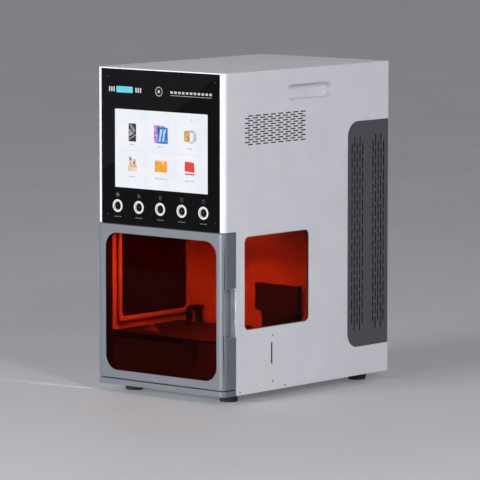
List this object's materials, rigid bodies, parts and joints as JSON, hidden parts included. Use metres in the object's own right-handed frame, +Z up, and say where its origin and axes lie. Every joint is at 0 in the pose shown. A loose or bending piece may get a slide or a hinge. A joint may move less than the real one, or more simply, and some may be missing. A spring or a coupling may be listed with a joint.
{
  "type": "desktop laser cutter",
  "caption": "Enclosed desktop laser cutter with a glazed front door, side windows, a touch panel, push-buttons and a screw-driven lift table.",
  "frame": {"origin": "middle of the machine's footprint, on the surface that its feet stand on", "axes": "+X to the right seen from the front, +Y from the front to the back, +Z up"},
  "size_m": [0.237, 0.363, 0.462],
  "materials": {
    "white_cover": "satin powder coat",
    "door_silver": "satin metallic paint",
    "grip_grey": "matte",
    "vent_grey": "matte powder coat",
    "black_glass": "gloss",
    "display_screen": "gloss",
    "amber_acrylic": "gloss",
    "bezel_white": "gloss",
    "button_red": "gloss",
    "black_trim": "matte",
    "foot_rubber": "matte",
    "chamber_paint": "satin powder coat",
    "hood_black": "matte powder coat",
    "plain_steel": "brushed",
    "polished_rod": "polished",
    "screw_brass": "machined",
    "table_anodised": "anodised",
    "cast_aluminium": "machined",
    "black_anodised": "anodised",
    "lens_glass": "coated",
    "led_diffuser": "frosted",
    "board_green": "satin",
    "fan_black": "matte",
    "mirror_coating": "polished"
  },
  "bodies": {
    "cabinet": {"front_sill": "door_silver", "base_plate": "white_cover", "feet": "foot_rubber", "right_side_cover": "white_cover", "left_side_cover": "white_cover", "right_vent_panel": "vent_grey", "left_vent_panel": "vent_grey", "top_cover": "white_cover", "rear_panel": "white_cover", "cover_screws": "plain_steel", "handle_cups": "white_cover", "right_window_pane": "amber_acrylic", "left_window_pane": "amber_acrylic", "window_retainers": "chamber_paint", "chamber_back_wall": "chamber_paint", "chamber_floor": "chamber_paint", "lens_deck": "chamber_paint", "led_strips": "led_diffuser", "fume_hood": "hood_black", "front_glass": "black_glass", "front_screws": "black_trim", "panel_backing": "plain_steel", "touch_display": "display_screen", "button_bodies": "bezel_white", "hinge_bushes": "black_trim", "door_magnet": "black_trim", "guide_rods": "polished_rod", "rod_brackets": "black_anodised", "lift_motor": "black_anodised", "galvo_head": "black_anodised", "galvo_motors": "cast_aluminium", "lens_ring": "black_anodised", "scan_lens": "lens_glass", "laser_source": "cast_aluminium", "exhaust_duct": "plain_steel", "exhaust_fan_frame": "fan_black", "power_supply": "plain_steel", "main_board": "board_green", "inlet_module": "black_trim"},
    "door": {"door_frame": "door_silver", "door_window": "amber_acrylic", "door_inner_frame": "black_trim", "door_grip_insert": "grip_grey", "door_hinge_pins": "plain_steel", "door_strike": "plain_steel"},
    "lift_stage": {"lift_table": "table_anodised", "lift_bearings": "plain_steel", "lead_nut": "screw_brass", "height_pointers": "plain_steel", "corner_stop": "cast_aluminium"},
    "screw": {"lead_screw": "plain_steel"},
    "scan_mirror_x": {"galvo_mirror_x": "mirror_coating"},
    "scan_mirror_y": {"galvo_mirror_y": "mirror_coating"},
    "fan_rotor": {"exhaust_fan_rotor": "fan_black"},
    "rocker": {"power_rocker": "black_trim"},
    "fan_button_cap": {"fan_button": "button_red"},
    "laser_button_cap": {"laser_button": "button_red"},
    "lamp_button_cap": {"lamp_button": "button_red"},
    "focus_button_cap": {"focus_button": "button_red"},
    "power_button_cap": {"power_button": "button_red"}
  },
  "joints": [
    {"name": "door_hinge", "type": "hinge", "parent": "cabinet", "child": "door", "pos_m": [-0.1115, -0.1745, 0.131], "axis": [0, 0, -1], "range_deg": [0, 110]},
    {"name": "lift_slide", "type": "slide", "parent": "cabinet", "child": "lift_stage", "axis": [0, 0, 1], "range_m": [-0.03, 0]},
    {"name": "lead_screw_turn", "type": "hinge", "parent": "cabinet", "child": "screw", "pos_m": [0, -0.0065, 0.052], "axis": [0, 0, 1], "range_deg": [-10, 1360]},
    {"name": "scan_mirror_x_turn", "type": "hinge", "parent": "cabinet", "child": "scan_mirror_x", "pos_m": [0, -0.0815, 0.274], "axis": [0, 1, 0], "range_deg": [-12, 12]},
    {"name": "scan_mirror_y_turn", "type": "hinge", "parent": "cabinet", "child": "scan_mirror_y", "pos_m": [0.0215, -0.0735, 0.282], "axis": [0, 0, 1], "range_deg": [-12, 12]},
    {"name": "fan_spin", "type": "hinge", "parent": "cabinet", "child": "fan_rotor", "pos_m": [0.0595, 0.1645, 0.122], "axis": [0, 1, 0], "continuous": true},
    {"name": "rocker_tilt", "type": "hinge", "parent": "cabinet", "child": "rocker", "pos_m": [-0.043, 0.1735, 0.052], "axis": [1, 0, 0], "range_deg": [-16, 0]},
    {"name": "fan_button_press", "type": "slide", "parent": "cabinet", "child": "fan_button_cap", "axis": [0, 1, 0], "range_m": [0, 0.0015], "stiffness_N_per_m": 300},
    {"name": "laser_button_press", "type": "slide", "parent": "cabinet", "child": "laser_button_cap", "axis": [0, 1, 0], "range_m": [0, 0.0015], "stiffness_N_per_m": 300},
    {"name": "lamp_button_press", "type": "slide", "parent": "cabinet", "child": "lamp_button_cap", "axis": [0, 1, 0], "range_m": [0, 0.0015], "stiffness_N_per_m": 300},
    {"name": "focus_button_press", "type": "slide", "parent": "cabinet", "child": "focus_button_cap", "axis": [0, 1, 0], "range_m": [0, 0.0015], "stiffness_N_per_m": 300},
    {"name": "power_button_press", "type": "slide", "parent": "cabinet", "child": "power_button_cap", "axis": [0, 1, 0], "range_m": [0, 0.0015], "stiffness_N_per_m": 300}
  ],
  "couplings": [
    {"joint": "lead_screw_turn", "follows": "lift_slide", "rad_per_m": -785.4}
  ]
}
